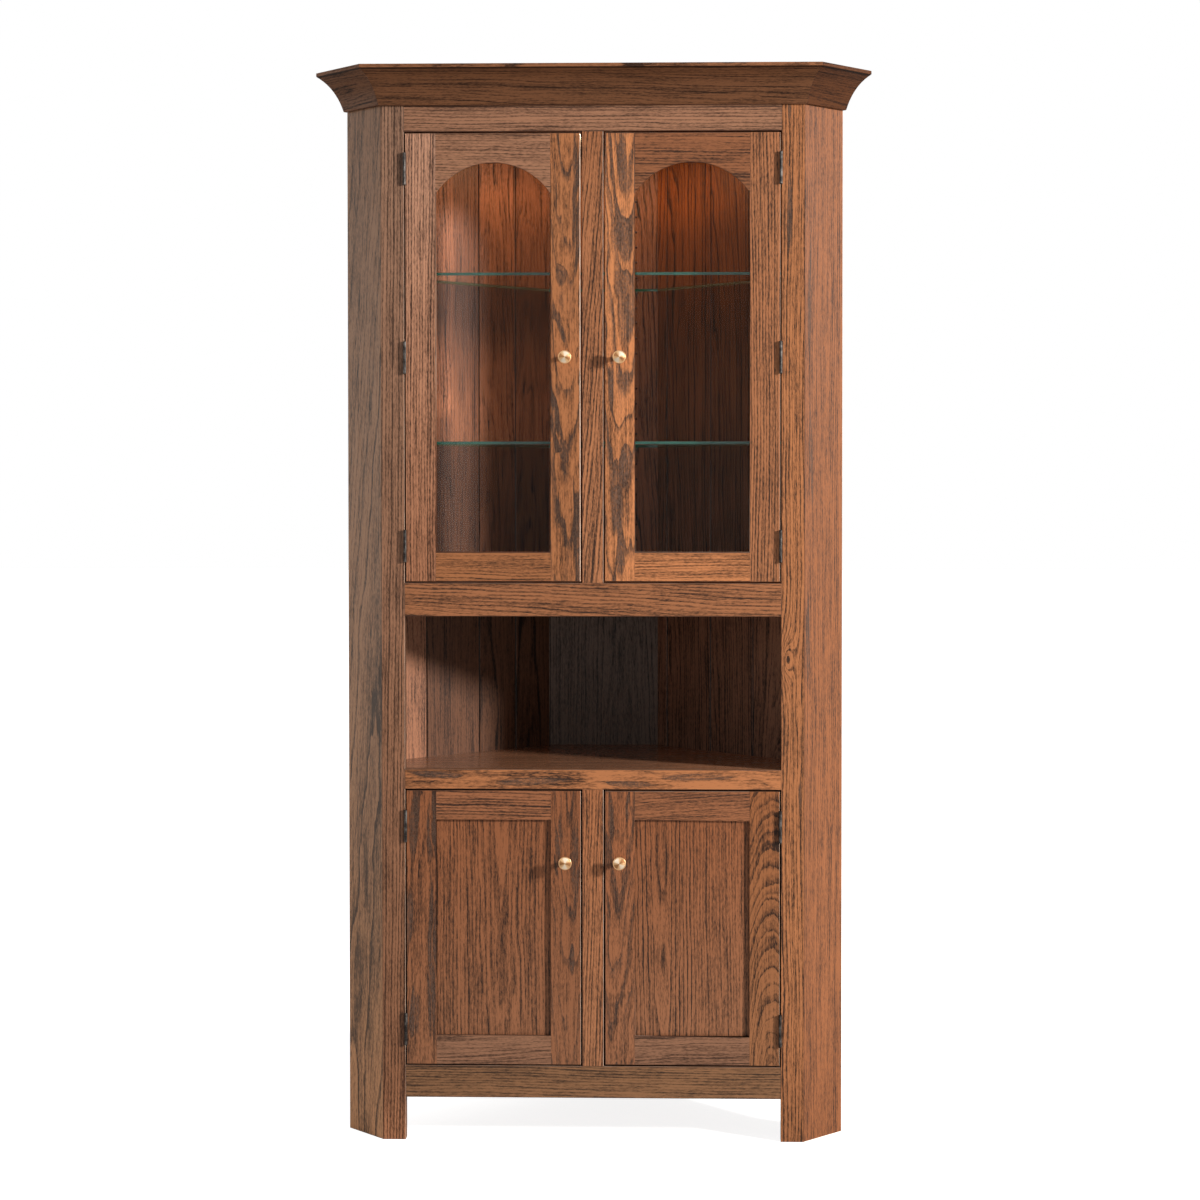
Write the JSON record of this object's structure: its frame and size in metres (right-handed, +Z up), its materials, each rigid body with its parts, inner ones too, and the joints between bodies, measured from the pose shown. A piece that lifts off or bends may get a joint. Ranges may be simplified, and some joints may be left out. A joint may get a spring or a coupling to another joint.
{
  "type": "corner china cabinet",
  "caption": "Tall oak corner cabinet with arched glass doors over glass shelves, an open display niche and panelled doors below, under a mitred cove crown.",
  "frame": {"origin": "on the floor, in the middle of the cabinet's bounding box", "axes": "+Z up, the face frame and its doors face -Y, +X to the right of someone who stands behind the doors looking along +Y"},
  "size_m": [1.0686, 0.5128, 2.057],
  "materials": {
    "stained_oak": "brown stained red oak under satin varnish",
    "inner_oak": "brown stained oak and oak plywood, satin",
    "clear_glass": "clear, green at the cut edges",
    "dark_bronze": "dark bronzed steel, satin",
    "satin_brass": "brushed satin brass",
    "lamp_white": "matte",
    "catch_brown": "matte"
  },
  "bodies": {
    "carcass": {"left_front_stile": "stained_oak", "right_front_stile": "stained_oak", "left_side_return": "stained_oak", "right_side_return": "stained_oak", "bottom_rail": "stained_oak", "counter_rail": "stained_oak", "middle_rail": "stained_oak", "top_rail": "stained_oak", "lower_mullion": "stained_oak", "upper_mullion": "stained_oak", "left_back_boards": "inner_oak", "right_back_boards": "inner_oak", "rear_panel": "inner_oak", "lower_floor": "inner_oak", "counter_deck": "inner_oak", "upper_floor": "inner_oak", "top_panel": "inner_oak", "upper_glass_shelf": "clear_glass", "lower_glass_shelf": "clear_glass", "wooden_shelf": "inner_oak", "crown_front": "stained_oak", "crown_left": "stained_oak", "crown_right": "stained_oak", "interior_lamp": "lamp_white", "upper_door_catch": "catch_brown", "lower_door_catch": "catch_brown", "upper_left_door_bottom_hinge_frame_leaf": "dark_bronze", "upper_left_door_middle_hinge_frame_leaf": "dark_bronze", "upper_left_door_top_hinge_frame_leaf": "dark_bronze", "upper_right_door_bottom_hinge_frame_leaf": "dark_bronze", "upper_right_door_middle_hinge_frame_leaf": "dark_bronze", "upper_right_door_top_hinge_frame_leaf": "dark_bronze", "lower_left_door_bottom_hinge_frame_leaf": "dark_bronze", "lower_left_door_top_hinge_frame_leaf": "dark_bronze", "lower_right_door_bottom_hinge_frame_leaf": "dark_bronze", "lower_right_door_top_hinge_frame_leaf": "dark_bronze"},
    "upper_left_door": {"upper_left_door_frame": "stained_oak", "upper_left_door_glass_pane": "clear_glass", "upper_left_door_glass_stop": "inner_oak", "upper_left_door_knob": "satin_brass", "upper_left_door_bottom_hinge_door_leaf": "dark_bronze", "upper_left_door_middle_hinge_door_leaf": "dark_bronze", "upper_left_door_top_hinge_door_leaf": "dark_bronze"},
    "upper_right_door": {"upper_right_door_frame": "stained_oak", "upper_right_door_glass_pane": "clear_glass", "upper_right_door_glass_stop": "inner_oak", "upper_right_door_knob": "satin_brass", "upper_right_door_bottom_hinge_door_leaf": "dark_bronze", "upper_right_door_middle_hinge_door_leaf": "dark_bronze", "upper_right_door_top_hinge_door_leaf": "dark_bronze"},
    "lower_left_door": {"lower_left_door_frame": "stained_oak", "lower_left_door_panel": "stained_oak", "lower_left_door_knob": "satin_brass", "lower_left_door_bottom_hinge_door_leaf": "dark_bronze", "lower_left_door_top_hinge_door_leaf": "dark_bronze"},
    "lower_right_door": {"lower_right_door_frame": "stained_oak", "lower_right_door_panel": "stained_oak", "lower_right_door_knob": "satin_brass", "lower_right_door_bottom_hinge_door_leaf": "dark_bronze", "lower_right_door_top_hinge_door_leaf": "dark_bronze"}
  },
  "joints": [
    {"name": "upper_left_door_hinge", "type": "hinge", "parent": "carcass", "child": "upper_left_door", "pos_m": [-0.3604, -0.18665, 1.508], "axis": [0, 0, -1], "range_deg": [0, 150]},
    {"name": "upper_right_door_hinge", "type": "hinge", "parent": "carcass", "child": "upper_right_door", "pos_m": [0.3604, -0.18665, 1.508], "axis": [0, 0, 1], "range_deg": [0, 150]},
    {"name": "lower_left_door_hinge", "type": "hinge", "parent": "carcass", "child": "lower_left_door", "pos_m": [-0.3604, -0.18665, 0.4115], "axis": [0, 0, -1], "range_deg": [0, 150]},
    {"name": "lower_right_door_hinge", "type": "hinge", "parent": "carcass", "child": "lower_right_door", "pos_m": [0.3604, -0.18665, 0.4115], "axis": [0, 0, 1], "range_deg": [0, 150]}
  ]
}
